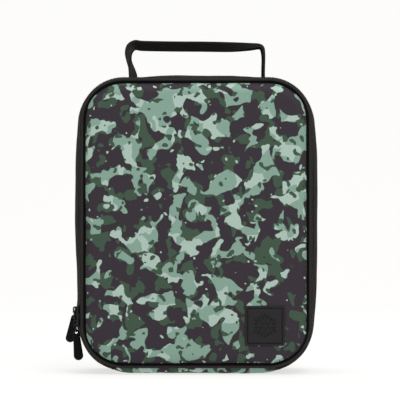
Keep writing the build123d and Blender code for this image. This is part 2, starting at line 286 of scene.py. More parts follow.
def wobble(points, size, reach, seed):
    """Small smooth cloth-like offsets for an array of points."""
    shift = Vector((seed, seed * 0.37, seed * 0.71))
    return np.array([noise.noise(Vector(p) / size + shift) for p in points]) * reach


def bake(piece):
    """Applies a piece's modifiers."""
    graph = bpy.context.evaluated_depsgraph_get()
    mesh = bpy.data.meshes.new_from_object(piece.evaluated_get(graph), depsgraph=graph)
    piece.modifiers.clear()
    piece.data = mesh


# ---- materials ----


def srgb(red, green, blue):
    """A colour from its 0 to 255 screen values."""
    def linear(value):
        share = value / 255
        return share / 12.92 if share <= 0.04045 else ((share + 0.055) / 1.055) ** 2.4
    return (linear(red), linear(green), linear(blue), 1.0)


class Nodes:
    """Adds shader nodes to one material, with numbers or other nodes' outputs as their inputs."""

    def __init__(self, name):
        self.material = bpy.data.materials.new(name)
        self.material.use_nodes = True
        self.tree = self.material.node_tree
        self.tree.nodes.clear()

    def add(self, kind, inputs=(), **settings):
        node = self.tree.nodes.new(kind)
        for setting, value in settings.items():
            setattr(node, setting, value)
        for socket, value in dict(inputs).items():
            if isinstance(value, bpy.types.NodeSocket):
                self.tree.links.new(value, node.inputs[socket])
            else:
                node.inputs[socket].default_value = value
        return node

    def math(self, operation, first, second=0.0, third=0.0):
        return self.add("ShaderNodeMath", {0: first, 1: second, 2: third}, operation=operation).outputs[0]

    def shift(self, vector, offset):
        return self.add("ShaderNodeVectorMath", {0: vector, 1: offset}, operation="ADD").outputs[0]

    def stretch(self, vector, amount):
        return self.add("ShaderNodeVectorMath", {0: vector, "Scale": amount}, operation="SCALE").outputs[0]

    def noise(self, vector, size, detail=0.0, roughness=0.5, colour=False):
        inputs = {"Vector": vector, "Scale": 1.0 / size, "Detail": detail, "Roughness": roughness}
        return self.add("ShaderNodeTexNoise", inputs).outputs["Color" if colour else "Fac"]

    def mix(self, share, first, second):
        return self.add("ShaderNodeMix", {0: share, 6: first, 7: second}, data_type="RGBA").outputs[2]

    def level(self, value, low, high, to_low=0.0, to_high=1.0):
        inputs = {0: value, 1: low, 2: high, 3: to_low, 4: to_high}
        return self.add("ShaderNodeMapRange", inputs).outputs[0]

    def place(self):
        """Where a point is on the object, in millimetres."""
        return self.stretch(self.add("ShaderNodeTexCoord").outputs["Object"], 1 / MM)

    def strip(self):
        """Distances along and across a piece of cloth, in millimetres."""
        uv = self.add("ShaderNodeUVMap", uv_map="strip").outputs[0]
        split = self.add("ShaderNodeSeparateXYZ", {0: self.stretch(uv, 1 / MM)})
        return split.outputs[0], split.outputs[1]

    def bump(self, height, distance, normal=None):
        inputs = {"Height": height, "Distance": distance, "Strength": 1.0}
        if normal is not None:
            inputs["Normal"] = normal
        return self.add("ShaderNodeBump", inputs).outputs[0]

    def finish(self, colour, roughness, normal, **constants):
        """The surface itself. Constants are set on its sockets by name, with _ for a space."""
        inputs = {"Base Color": colour, "Roughness": roughness}
        if normal is not None:
            inputs["Normal"] = normal
        for socket, value in constants.items():
            inputs[socket.replace("_", " ")] = value
        surface = self.add("ShaderNodeBsdfPrincipled", inputs)
        self.add("ShaderNodeOutputMaterial", {0: surface.outputs[0]})
        return self.material


def weave(nodes, thread, repeat=2, lean=0.0):
    """Height of crossing threads, 0 to 1. repeat 2 is a plain weave and more is a twill. lean turns it."""
    along, across = nodes.strip()
    if lean:
        cosine, sine = math.cos(lean), math.sin(lean)
        turned = nodes.math("MULTIPLY_ADD", along, cosine, nodes.math("MULTIPLY", across, -sine))
        across = nodes.math("MULTIPLY_ADD", along, sine, nodes.math("MULTIPLY", across, cosine))
        along = turned
    along = nodes.math("DIVIDE", along, thread)
    across = nodes.math("DIVIDE", across, thread)
    ridges = []
    for value in (along, across):
        share = nodes.math("FRACT", value)
        arch = nodes.math("MULTIPLY", share, nodes.math("SUBTRACT", 1.0, share))
        ridges.append(nodes.math("MULTIPLY", arch, 4.0))
    cell = nodes.math("ADD", nodes.math("FLOOR", along), nodes.math("FLOOR", across))
    over = nodes.math("LESS_THAN", nodes.math("FLOORED_MODULO", cell, float(repeat)), repeat / 2)
    first = nodes.math("MULTIPLY", ridges[0], nodes.math("MULTIPLY_ADD", ridges[1], 0.4, 0.6))
    second = nodes.math("MULTIPLY", ridges[1], nodes.math("MULTIPLY_ADD", ridges[0], 0.4, 0.6))
    under = nodes.math("MULTIPLY", second, nodes.math("SUBTRACT", 1.0, over))
    return nodes.math("MULTIPLY_ADD", first, over, under)


# Painted shade: the near-black colour for cloth that lies deep in a crevice.
PAINTED_CREVICE_SHADE = srgb(9, 8, 9)
FOLD_WIDTH = 0.7


def cloth_material(name, colour, thread, depth, repeat=2, lean=0.0, rough=0.85, fold=None):
    """Plain-coloured woven cloth: threads, slightly uneven dye, and a soft sheen. Past the distance of a fold
    across the strip, in millimetres, it lies in a crevice and is painted nearly black, as shade there."""
    nodes = Nodes(name)
    height = weave(nodes, thread, repeat, lean)
    tone_and_painted_foot_light = nodes.noise(nodes.place(), 26.0, detail=3.0)
    grain = nodes.noise(nodes.place(), 1.3, detail=2.0)
    shade = nodes.math("MULTIPLY_ADD", tone_and_painted_foot_light, 0.35, nodes.math("MULTIPLY", grain, 0.35))
    dark = tuple(c * 0.72 for c in colour[:3]) + (1.0,)
    light = tuple(min(1.0, c * 1.3) for c in colour[:3]) + (1.0,)
    base = nodes.mix(nodes.math("MULTIPLY_ADD", height, 0.35, shade), dark, light)
    # Painted shade: past the fold the colour turns near-black, where the crevice is.
    if fold is not None:
        _, across = nodes.strip()
        base = nodes.mix(nodes.level(across, fold - FOLD_WIDTH, fold), base, PAINTED_CREVICE_SHADE)
    soft = nodes.bump(nodes.noise(nodes.place(), 7.0, detail=2.0), 0.25 * MM)
    normal = nodes.bump(height, depth * MM, soft)
    return nodes.finish(base, rough, normal, Sheen_Weight=0.01, Sheen_Roughness=0.5, Specular_IOR_Level=0.08)


MINT = srgb(169, 190, 180)
SEA_GREEN = srgb(130, 160, 146)
DARK_GREEN = srgb(62, 83, 67)
CHARCOAL = srgb(53, 46, 54)


def wander(nodes, vector, size, reach, offset):
    """Pushes the pattern's coordinates about, so that its edges wander."""
    moved = nodes.shift(vector, (offset, offset * 0.7, offset * 1.3))
    push = nodes.shift(nodes.noise(moved, size, detail=1.0, colour=True), (-0.5, -0.5, -0.5))
    return nodes.shift(vector, nodes.stretch(push, reach))


def blot(nodes, vector, size, level, offset, detail=1.0, edge=0.0025):
    """1 inside printed blots of about that size and 0 outside, with a narrow soft edge."""
    moved = nodes.shift(vector, (offset, offset * 0.3, -offset))
    return nodes.level(nodes.noise(moved, size, detail, 0.45), level - edge, level + edge)


def camouflage(nodes):
    """Mint and sea-green shapes edged in dark green on charcoal."""
    place = nodes.place()
    wavy = wander(nodes, wander(nodes, place, 24.0, 24.0, 11.0), 8.5, 7.0, 47.0)
    light = blot(nodes, wavy, 13.5, 0.550, 130.0, detail=0.8)
    rim = blot(nodes, wavy, 13.5, 0.536, 130.0, detail=0.8)
    holes = blot(nodes, wander(nodes, place, 5.0, 3.0, 9.0), 6.0, 0.67, 310.0, detail=0.0)
    flecks = blot(nodes, place, 5.0, 0.80, 520.0, detail=0.0)
    pale = blot(nodes, wander(nodes, place, 12.0, 9.0, 71.0), 16.0, 0.545, 777.0)
    green = blot(nodes, wander(nodes, place, 12.0, 8.0, 23.0), 11.5, 0.560, 901.0)
    ground = nodes.mix(nodes.math("MAXIMUM", green, rim), CHARCOAL, DARK_GREEN)
    keep = nodes.math("MULTIPLY", light, nodes.math("SUBTRACT", 1.0, holes))
    printed = nodes.mix(keep, ground, nodes.mix(pale, SEA_GREEN, MINT))
    apart = nodes.math("MULTIPLY", flecks, nodes.math("SUBTRACT", 1.0, light))
    return nodes.mix(apart, printed, MINT)


def camouflage_material():
    """Printed polyester cloth."""
    nodes = Nodes("camo_fabric")
    height = weave(nodes, 0.62)
    grain = nodes.math("MULTIPLY_ADD", nodes.noise(nodes.place(), 1.1, detail=2.0), 0.22, 0.80)
    shade = nodes.math("MULTIPLY_ADD", height, 0.16, grain)
    soft = nodes.bump(nodes.noise(nodes.place(), 9.0, detail=2.0), 0.3 * MM)
    normal = nodes.bump(height, 0.07 * MM, soft)
    base = nodes.stretch(camouflage(nodes), shade)
    return nodes.finish(base, 0.78, normal, Sheen_Weight=0.02, Sheen_Roughness=0.5, Specular_IOR_Level=0.2)


RIB_WIDTH = 1.6
RIB_PITCH = 1.15
# Where the left foot's painted light fades into the grip's darker colour, in millimetres along the strap.
FOOT_END, GRIP_START = 22.0, 44.0


def webbing_material():
    """Ribbed polyester webbing: chevron ribs along the strap, its left foot painted paler than its grip as
    painted light where it turns up into the light.
    """
    nodes = Nodes("webbing")
    along, across = nodes.strip()
    ribs = nodes.math("PINGPONG", across, RIB_WIDTH)
    slanted = nodes.math("MULTIPLY_ADD", ribs, 0.9, along)
    share = nodes.math("FRACT", nodes.math("DIVIDE", slanted, RIB_PITCH))
    cord = nodes.math("SINE", nodes.math("MULTIPLY", share, math.pi))
    height = nodes.math("MULTIPLY", cord, nodes.level(ribs, 0.0, 0.28))
    grain = nodes.noise(nodes.place(), 1.0, detail=2.0)
    shade = nodes.math("MULTIPLY_ADD", height, 0.5, nodes.math("MULTIPLY", grain, 0.4))
    # Painted light: the left foot is coloured paler than the grip, where it turns up into the light.
    tone_and_painted_foot_light = nodes.mix(nodes.level(along, FOOT_END, GRIP_START), srgb(62, 61, 58), srgb(24, 23, 21))
    base = nodes.mix(shade, srgb(6, 6, 5), tone_and_painted_foot_light)
    normal = nodes.bump(height, 0.16 * MM)
    return nodes.finish(base, 0.85, normal, Sheen_Weight=0.01, Sheen_Roughness=0.5, Specular_IOR_Level=0.1)


def moulded_material(name, dark, light, rough, grain_depth=0.03, shine=0.2):
    """Moulded rubber or plastic with a fine matt grain."""
    nodes = Nodes(name)
    grain = nodes.noise(nodes.place(), 0.45, detail=2.0)
    cloudy = nodes.noise(nodes.place(), 11.0, detail=2.0)
    base = nodes.mix(nodes.math("MULTIPLY_ADD", grain, 0.4, nodes.math("MULTIPLY", cloudy, 0.6)), dark, light)
    roughness = nodes.level(cloudy, 0.3, 0.7, rough - 0.06, rough + 0.06)
    return nodes.finish(base, roughness, nodes.bump(grain, grain_depth * MM), Specular_IOR_Level=shine)


def painted_metal_material():
    """Cast zinc under black paint, rubbed through in a few small random specks."""
    nodes = Nodes("slider_metal")
    flow = nodes.noise(nodes.place(), 2.2, detail=2.0)
    speck = nodes.noise(nodes.place(), 0.5, detail=3.0)
    base = nodes.mix(nodes.level(speck, 0.72, 0.80), srgb(16, 16, 17), srgb(48, 48, 50))
    roughness = nodes.level(flow, 0.3, 0.7, 0.38, 0.52)
    return nodes.finish(base, roughness, nodes.bump(flow, 0.05 * MM), Metallic=0.1, Specular_IOR_Level=0.3)


def lining_material():
    """Silver-grey insulating film with pressed crinkles."""
    nodes = Nodes("lining")
    place = nodes.place()
    inputs = {"Vector": wander(nodes, place, 6.0, 4.0, 5.0), "Scale": 1 / 5.5}
    facets = nodes.add("ShaderNodeTexVoronoi", inputs, feature="DISTANCE_TO_EDGE").outputs["Distance"]
    creases = nodes.level(facets, 0.0, 0.14)
    waves = nodes.noise(place, 14.0, detail=3.0)
    base = nodes.mix(nodes.math("MULTIPLY", creases, waves), srgb(150, 153, 155), srgb(205, 207, 208))
    roughness = nodes.level(waves, 0.3, 0.7, 0.24, 0.42)
    normal = nodes.bump(creases, 0.12 * MM, nodes.bump(waves, 0.9 * MM))
    return nodes.finish(base, roughness, normal, Metallic=0.75, Specular_IOR_Level=0.5)


# Thread spacing, weave depth and the fold's place are in millimetres.
CLOTHS = {
    # The lid band's cloth is painted darker than the side's black cloth, as shade in the groove beside the
    # piping.
    "painted_shade_rim_fabric": {"colour": srgb(15, 14, 14), "thread": 0.62, "depth": 0.08},
    "black_fabric": {"colour": srgb(30, 28, 27), "thread": 0.62, "depth": 0.08},
    # The piping's lip, past 7.4 mm across its section, is painted near-black as shade in the crevice beside
    # the panel.
    "piping": {"colour": srgb(44, 42, 40), "thread": 0.5, "depth": 0.06, "repeat": 4, "lean": 0.7,
               "fold": 7.4},
    "binding": {"colour": srgb(36, 36, 38), "thread": 0.9, "depth": 0.12},
    # Black tape, painted darker still as shade in the groove beside the piping.
    "zip_tape": {"colour": srgb(15, 14, 15), "thread": 0.55, "depth": 0.08, "repeat": 4},
    "elastic": {"colour": srgb(32, 32, 34), "thread": 1.0, "depth": 0.25},
    "mesh": {"colour": srgb(34, 34, 36), "thread": 0.3, "depth": 0.02},
    "label": {"colour": srgb(228, 227, 222), "thread": 0.35, "depth": 0.03, "rough": 0.5},
    "thread": {"colour": srgb(44, 42, 42), "thread": 0.25, "depth": 0.03, "repeat": 4, "lean": 0.6},
}
MOULDED = {
    # Black nylon, painted darker still as shade in the groove beside the piping.
    "zip_coil": {"dark": srgb(14, 13, 14), "light": srgb(28, 27, 28), "rough": 0.45, "grain_depth": 0.01},
    "badge_rubber": {"dark": srgb(28, 26, 27), "light": srgb(40, 38, 39), "rough": 0.62},
    "pull_rubber": {"dark": srgb(8, 6, 7), "light": srgb(16, 14, 14), "rough": 0.5, "shine": 0.08},
    "backing_plastic": {"dark": srgb(40, 42, 44), "light": srgb(60, 62, 64), "rough": 0.45},
}
MATERIALS = {name: cloth_material(name, **look) for name, look in CLOTHS.items()}
MATERIALS.update({name: moulded_material(name, **look) for name, look in MOULDED.items()})
MATERIALS["camo_fabric"] = camouflage_material()
MATERIALS["webbing"] = webbing_material()
MATERIALS["slider_metal"] = painted_metal_material()
MATERIALS["lining"] = lining_material()

# ---- cloth that is blown out a little by what fills it ----

SETTLING_FRAMES = 20


def settle(piece, loose, pressure, reach):
    """Runs a short cloth simulation of a stuffed piece. Only loose points move, and no further than reach."""
    rest = np.array([v.co for v in piece.data.vertices])
    held = piece.vertex_groups.new(name="held")
    held.add([int(i) for i in np.flatnonzero(~loose)], 1.0, "REPLACE")
    cloth = piece.modifiers.new("cloth", "CLOTH").settings
    cloth.quality = 5
    cloth.mass = 0.25
    cloth.tension_stiffness = 12
    cloth.compression_stiffness = 12
    cloth.shear_stiffness = 6
    cloth.bending_stiffness = 0.6
    cloth.use_pressure = True
    cloth.uniform_pressure_force = pressure
    cloth.effector_weights.gravity = 0.0
    cloth.vertex_group_mass = "held"
    for frame_number in range(1, SETTLING_FRAMES + 1):
        bpy.context.scene.frame_set(frame_number)
    posed = piece.evaluated_get(bpy.context.evaluated_depsgraph_get())
    moved = np.array([v.co for v in posed.data.vertices]) - rest
    piece.modifiers.clear()
    piece.vertex_groups.clear()
    bpy.context.scene.frame_set(1)
    far = np.linalg.norm(moved, axis=1)
    moved *= (np.minimum(far, reach) / np.maximum(far, 1e-9))[:, None]
    piece.data.vertices.foreach_set("co", (rest + moved).astype(np.float32).ravel())
    piece.data.update()


# ---- front and back panels ----

RIM_TUCK = 1.6 * MM
ROLL_START = 4.1 * MM
ROLL_WIDTH = 9 * MM
CROWN = 3.4 * MM
MIDDLE = (LOW + HIGH) / 2


def inset_of(x, z):
    """How far a point is inside the outline."""
    over_x = np.abs(x) - BASE_RUN
    over_z = np.abs(z - MIDDLE) - SIDE_RUN / 2
    outside = np.hypot(np.maximum(over_x, 0), np.maximum(over_z, 0))
    return CORNER - outside - np.minimum(np.maximum(over_x, over_z), 0)


def panel_grid(columns, rows):
    """A square grid's points (x, z) pulled to the outline's rounded shape, row by row."""
    u, v = np.meshgrid(np.linspace(-1, 1, columns), np.linspace(-1, 1, rows))
    ring = np.maximum(np.abs(u), np.abs(v))
    sideways = np.abs(u) >= np.abs(v)
    share = np.where(sideways, v, u) / np.maximum(ring, 1e-9)
    half_base = BASE_RUN + ARC / 2
    left = LOW_SIDE + SIDE_RUN / 2
    up_side = share * (SIDE_RUN + ARC) / 2
    beside = np.where(u < 0, left + up_side, ROUND - left - up_side)
    run = np.where(sideways, beside, np.where(v < 0, -share * half_base, ROUND / 2 + share * half_base))
    x, z, nx, nz = outline(run)
    x, z = x - nx * RIM_TUCK, z - nz * RIM_TUCK
    return (ring * x).ravel(), (MIDDLE + ring * (z - MIDDLE)).ravel()


def panel_crown(side):
    """How far the stuffed panel stands out over a 45 by 57 grid, from a simulated sheet held at its rim."""
    columns, rows = 45, 57
    x, z = panel_grid(columns, rows)
    faces = grid_faces(rows, columns)
    points = triples(x, side * SEAM_DEPTH, z)
    sheet = add_mesh("sheet", points, flipped(faces) if side > 0 else faces, MATERIALS["camo_fabric"])
    loose = np.ones(len(points), bool)
    loose[border(columns, rows)] = False
    settle(sheet, loose, 4.0, 16 * MM)
    bulge = np.array([v.co.y for v in sheet.data.vertices]) * side - SEAM_DEPTH
    bpy.data.objects.remove(sheet)
    if bulge.max() < 0.1 * MM:
        bulge = np.clip(inset_of(x, z) / 0.1, 0, 1) ** 0.8
    return (bulge / bulge.max() * CROWN).reshape(rows, columns)


def finer(values, columns, rows):
    """Smoothly resamples a grid of values to more columns and rows."""
    def along(rows_of_values, count):
        old = rows_of_values.shape[1]
        t = np.linspace(0, old - 1, count)
        i = np.clip(t.astype(int), 0, old - 2)
        first = 2 * rows_of_values[:, :1] - rows_of_values[:, 1:2]
        last = 2 * rows_of_values[:, -1:] - rows_of_values[:, -2:-1]
        longer = np.concatenate([first, rows_of_values, last], axis=1)
        return between(*(longer[:, i + k] for k in range(4)), t - i)
    return along(along(values, columns).T, rows).T


def panel(name, side, body):
    """A padded panel: its printed face puffed out between the piping, and a flat back behind the foam."""
    columns, rows = 177, 225
    x, z = panel_grid(columns, rows)
    inset = np.maximum(inset_of(x, z), 0)
    rise = np.clip((inset - ROLL_START) / ROLL_WIDTH, 0, 1)
    flat = (PANEL_FACE - SEAM_DEPTH) * (1 - (1 - rise) ** 2.4)
    crown = finer(panel_crown(side), columns, rows).ravel() * smooth(rise)
    places = triples(x, side, z)
    slack = wobble(places, 0.045, 0.35 * MM, 3.0 * side) + wobble(places, 0.016, 0.12 * MM, 9.0 * side)
    pucker = wobble(places, 0.006, 0.16 * MM, 5.0 * side) * np.exp(-inset / (6 * MM))
    depth = SEAM_DEPTH + flat + crown + (slack + pucker) * smooth(inset / (5 * MM))
    points = np.concatenate([triples(x, side * depth, z), triples(x, side * (LINING_DEPTH + 0.7 * MM), z)])
    faces = sheet_faces(columns, rows)
    piece = add_mesh(name, points, flipped(faces) if side > 0 else faces, MATERIALS["camo_fabric"], body,
                     "camo_fabric", (name + "_fabric", name + "_foam"))
    set_coordinates(piece, points[:, 0], points[:, 2])
    return piece


FRONT_PANEL = panel("front_panel", -1, "lid")
panel("back_panel", 1, "bag")

FILM_THICKNESS = 0.5 * MM


def panel_lining(name, side, body):
    """The smooth film inside a panel, with slight slack."""
    columns, rows = 89, 113
    x, z = panel_grid(columns, rows)
    x, z = x * 0.985, MIDDLE + (z - MIDDLE) * 0.985
    slack = wobble(triples(x, side, z), 0.03, 0.25 * MM, 17.0) * smooth(inset_of(x, z) / (14 * MM))
    depths = (LINING_DEPTH + slack, LINING_DEPTH + FILM_THICKNESS + slack)
    points = np.concatenate([triples(x, side * depth, z) for depth in depths])
    faces = sheet_faces(columns, rows)
    piece = add_mesh(name, points, flipped(faces) if side < 0 else faces, MATERIALS["lining"], body, "lining",
                     (name,))
    set_coordinates(piece, points[:, 0], points[:, 2])


panel_lining("front_panel_lining", -1, "lid")
panel_lining("back_panel_lining", 1, "bag")

# ---- piping, bindings, the lid's band and the zip's tapes, all along the outline ----

FINE_RUNS = np.linspace(0, ROUND, 560, endpoint=False)
ZIP_STEPS = 470
LIP_TURN = math.radians(152)
LIP_REACH = 3.1 * MM
CORD_OUT = -1.1 * MM
CORD_SLACK = 0.35 * MM


def piping(name, side, body):
    """The covered cord in the seam round a panel, a little uneven as sewn piping is, and its lip."""
    turn = np.linspace(-LIP_TURN, LIP_TURN, 18)
    lip_depth = np.array([0.3, 0.5, 0.1]) * MM
    lip_out = -LIP_REACH - np.array([0.0, 0.25, 0.4]) * MM

    def section(runs):
        places = triples(np.cos(runs / ROUND * TAU), np.sin(runs / ROUND * TAU), side)
        radius = PIPING_RADIUS - CORD_SLACK + wobble(places, 0.09, 0.10 * MM, 2.0)[:, None]
        proud = np.concatenate([radius * np.sin(turn), np.tile(lip_depth, (len(runs), 1))], axis=1)
        out = np.concatenate([radius * np.cos(turn), np.tile(lip_out, (len(runs), 1))], axis=1)
        return side * (SEAM_DEPTH + proud), out + CORD_OUT

    sweep(name, FINE_RUNS, section, MATERIALS["piping"], closed=True, body=body, slot="piping",
          replaces=(name,))


piping("front_piping", -1, "lid")
piping("back_piping", 1, "bag")

BINDING_INNER = -8.0 * MM


def seam_binding(name, body):
    """Folded tape over the raw seam inside, a ring just within the panel's rim."""
    low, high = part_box(name)
    corners = rounded_strip(low.y, high.y, BINDING_INNER, LOW - low.z, 0.6 * MM)
    sweep(name, FINE_RUNS, constant_section(corners), MATERIALS["binding"], closed=True, body=body,
          slot="binding", replaces=(name,))


seam_binding("front_seam_binding", "lid")
seam_binding("back_seam_binding", "bag")

# The band's section, from the piping towards the zip: (backwards, outwards) in millimetres.
BAND_RISE = [(-1.2, -1.3), (0.0, -0.6), (0.8, 0.1), (2.0, 0.5), (5.0, 0.9), (7.6, 1.1), (8.0, 0.8)]
BAND_THICKNESS = 0.8 * MM


def lid_band():
    """The lid's rim of black cloth, tucked in beside the piping and rising towards the zip."""
    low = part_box("lid_band")[0]
    top = [(low.y + back * MM, up * MM) for back, up in BAND_RISE]
    under = [(depth, up - BAND_THICKNESS) for depth, up in reversed(top)]
    # Its cloth is painted near-black, as painted shade in the groove beside the piping.
    sweep("lid_band", runs_above(low.z, ZIP_STEPS), constant_section(top + under), MATERIALS["painted_shade_rim_fabric"],
          body="lid", slot="black_fabric", replaces=("lid_band",))


lid_band()

TAPE_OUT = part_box("lid_zip_tape")[1].x - HALF_WIDTH
TAPE_THICKNESS = 0.6 * MM


def zip_tape(name, body):
    """One side's woven tape."""
    low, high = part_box(name)
    corners = rounded_strip(low.y, high.y, TAPE_OUT - TAPE_THICKNESS, TAPE_OUT, 0.15 * MM)
    sweep(name, runs_above(low.z, ZIP_STEPS), constant_section(corners), MATERIALS["zip_tape"], body=body,
          slot="zip_tape", replaces=(name,))


zip_tape("lid_zip_tape", "lid")
zip_tape("bag_zip_tape", "bag")

# ---- the zip's coils ----

COIL_PITCH = 1.5 * MM
COIL_WIRE = 0.33 * MM
COIL_HEIGHT = 0.8 * MM
COIL_STEPS = 12
CLOSED_GAP, SLIDER_GAP = -0.35 * MM, 0.35 * MM
LID_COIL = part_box("lid_zip_coil")
BAG_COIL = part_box("bag_zip_coil")
COIL_OUT = LID_COIL[1].x - HALF_WIDTH
ZIP_DEPTH = (LID_COIL[1].y + BAG_COIL[0].y) / 2


def coil(name, box, body, side):
    """A nylon coil: a flattened helix along the tape. Its loops cross the middle where the zip is closed, and
    stop short of it where the sliders ride."""
    low, high = box
    start = run_at_height(low.z) + 1 * MM
    turns = int((ROUND - 2 * start) / COIL_PITCH)
    t = np.arange(turns * COIL_STEPS) / COIL_STEPS
    runs = start + COIL_PITCH * (t + (0.5 if side > 0 else 0.0))
    near = np.where(runs < HIGH_SIDE, SLIDER_GAP, CLOSED_GAP) + COIL_WIRE
    far = max(abs(low.y - ZIP_DEPTH), abs(high.y - ZIP_DEPTH)) - COIL_WIRE
    depth = ZIP_DEPTH + side * ((far + near) / 2 - (far - near) / 2 * np.cos(t * TAU))
    out = COIL_OUT - COIL_HEIGHT + (COIL_HEIGHT - COIL_WIRE) * np.sin(t * TAU)
    x, z, nx, nz = outline(runs)
    points, faces = tube(triples(x + nx * out, depth, z + nz * out), COIL_WIRE, 6)
    add_mesh(name, points, faces, MATERIALS["zip_coil"], body, "zip_coil", (name,))


coil("lid_zip_coil", LID_COIL, "lid", -1)
coil("bag_zip_coil", BAG_COIL, "bag", 1)

# ---- sides and base ----

FULL_DEPTH = 8 * MM
FLAT_HALF = 31 * MM
EDGE_OUT = 1.6 * MM
BASE_FRONT, BASE_BACK = -38.2 * MM, 38 * MM
PRINT_END = BASE_RUN + 6 * MM


def swell(share):
    """1 in a padded wall's middle and 0 at its sewn edge."""
    return (1 - np.clip(share, 0, 1) ** 2.2) ** 0.75


def side_profile(depth, runs):
    """How far the side stands out at each depth: sewn down at both edges and full between them."""
    half = np.where(depth < FULL_DEPTH, FULL_DEPTH - SIDES_FRONT, SIDES_BACK - FULL_DEPTH)
    return EDGE_OUT + (fullness(runs)[:, None] - EDGE_OUT) * swell(np.abs(depth - FULL_DEPTH) / half)


def base_profile(depth, runs):
    """How far the base stands out at each depth: flat for the floor, rolled up to the seams, and like the
    sides at its ends."""
    rolled = swell((np.abs(depth) - FLAT_HALF) / (SIDES_BACK - FLAT_HALF))
    flat = EDGE_OUT + (fullness(runs)[:, None] - EDGE_OUT) * rolled
    away = np.minimum(np.mod(runs, ROUND), np.mod(-runs, ROUND))
    end = smooth((away - BASE_RUN + 8 * MM) / (ZIP_START - BASE_RUN + 8 * MM))[:, None]
    return flat + (side_profile(depth, runs) - flat) * end


def layer_section(profile, depths, under, thickness):
    """The section of a layer that follows a wall's curve, some distance under it."""
    def section(runs):
        face = profile(depths[None, :], runs) - under
        out = np.concatenate([face, face[:, ::-1] - thickness], axis=1)
        return np.tile(np.concatenate([depths, depths[::-1]]), (len(runs), 1)), out
    return section


def wall(name, material, runs, profile, front, back, seed, replaced=()):
    """A padded wall along the outline: its cloth outside, and the foam's face one wall's thickness in."""
    depths = (front + back) / 2 + (back - front) / 2 * np.sin(np.linspace(-math.pi / 2, math.pi / 2, 37))

    def section(runs_here):
        outer = profile(depths[None, :], runs_here)
        out = np.concatenate([outer, outer[:, -2:0:-1] - WALL], axis=1)
        return np.tile(np.concatenate([depths, depths[-2:0:-1]]), (len(runs_here), 1)), out

    piece = sweep(name, runs, section, MATERIALS[material], body="bag", slot=material, replaces=replaced)
    row, column = np.divmod(np.arange(len(piece.data.vertices)), 2 * len(depths) - 2)
    loose = (column > 1) & (column < len(depths) - 2) & (row > 1) & (row < len(runs) - 2)
    settle(piece, loose, 2.0, 0.6 * MM)
    places = np.array([v.co for v in piece.data.vertices])
    normals = np.array([v.normal for v in piece.data.vertices])
    slack = wobble(places, 0.03, 0.45 * MM, seed) + wobble(places, 0.009, 0.14 * MM, seed * 2)
    places += normals * (slack * loose)[:, None]
    places[:, 2] = np.maximum(places[:, 2], 0.0)
    piece.data.vertices.foreach_set("co", places.astype(np.float32).ravel())
    piece.data.update()


wall("side_wall", "black_fabric", runs_above(SIDE_LOW.z, 360), side_profile, SIDES_FRONT, SIDES_BACK, 4.0,
     ("side_fabric", "side_foam"))
wall("base_wall", "camo_fabric", np.linspace(-PRINT_END, PRINT_END, 112), base_profile, BASE_FRONT, BASE_BACK,
     7.0, ("base_fabric", "base_foam"))
for name, start, end in (("lower_corner_left", PRINT_END, ZIP_START),
                         ("lower_corner_right", -ZIP_START, -PRINT_END)):
    wall(name, "black_fabric", np.linspace(start, end, 12), base_profile, BASE_FRONT, BASE_BACK, 12.0)


def wall_lining(name, runs, profile):
    """The insulating film over the inner face of a wall."""
    low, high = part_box(name)
    section = layer_section(profile, np.linspace(low.y, high.y, 25), LINING_INSET, 0.45 * MM)
    sweep(name, runs, section, MATERIALS["lining"], body="bag", slot="lining", replaces=(name,))


wall_lining("side_lining", runs_above(SIDE_LOW.z, 300), side_profile)
wall_lining("base_lining", np.linspace(-ZIP_START, ZIP_START, 130), base_profile)

BACKING_UNDER = 1.9 * MM


def handle_backing(name):
    """A stiff patch behind a foot of the handle, bent to the top's shape just under the cloth."""
    low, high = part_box(name)
    section = layer_section(side_profile, np.linspace(low.y, high.y, 17), BACKING_UNDER, high.z - low.z)
    sweep(name + "_patch", ROUND / 2 + np.linspace(low.x, high.x, 17), section, MATERIALS["backing_plastic"],
          body="bag", slot="backing_plastic", replaces=(name,))


handle_backing("handle_backing_left")
handle_backing("handle_backing_right")


def zip_end_tab(name, side):
    """A folded scrap of the side's fabric sewn over the end of the zip."""
    low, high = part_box(name)
    near = min(abs(low.x), abs(high.x))
    runs = np.linspace(near * 1.02, ZIP_START - 0.3 * MM, 24)
    depth, lift = np.array(rounded_strip(low.y, high.y, -0.2 * MM, 0.7 * MM, 0.3 * MM)).T

    def section(runs_here):
        return np.tile(depth, (len(runs_here), 1)), base_profile(depth[None, :], runs_here) + lift

    sweep(name, runs if side < 0 else -runs[::-1], section, MATERIALS["black_fabric"], body="bag",
          slot="black_fabric", replaces=(name,))


zip_end_tab("zip_end_tab_left", -1)
zip_end_tab("zip_end_tab_right", 1)

# ---- the handle ----

HANDLE_LOW, HANDLE_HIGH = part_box("handle_webbing")
HANDLE_DEPTH = (HANDLE_LOW.y + HANDLE_HIGH.y) / 2
WEBBING_HALF = 9.4 * MM
WEBBING_THICKNESS = 1.8 * MM
FOOT_FOLD, GRIP_FOLD = math.radians(14), math.radians(88)
LEFT_TWIST = math.radians(20)
SOFT_BEND = 9 * MM

# The strap's outer edge seen from the front, from its left foot to its right foot: (x, z) in millimetres.
HANDLE_LINE = [(-60.2, 268.8), (-60.8, 273.5), (-62.4, 280.0), (-64.8, 287.0), (-65.9, 294.5), (-63.6, 301.6),
               (-57.0, 305.4), (-48.0, 304.7), (-20.0, 304.2), (10.0, 304.0), (35.0, 303.4), (50.0, 302.7),
               (58.6, 302.0), (62.9, 298.9), (63.9, 292.0), (63.8, 284.0), (63.6, 276.0), (63.7, 268.8)]


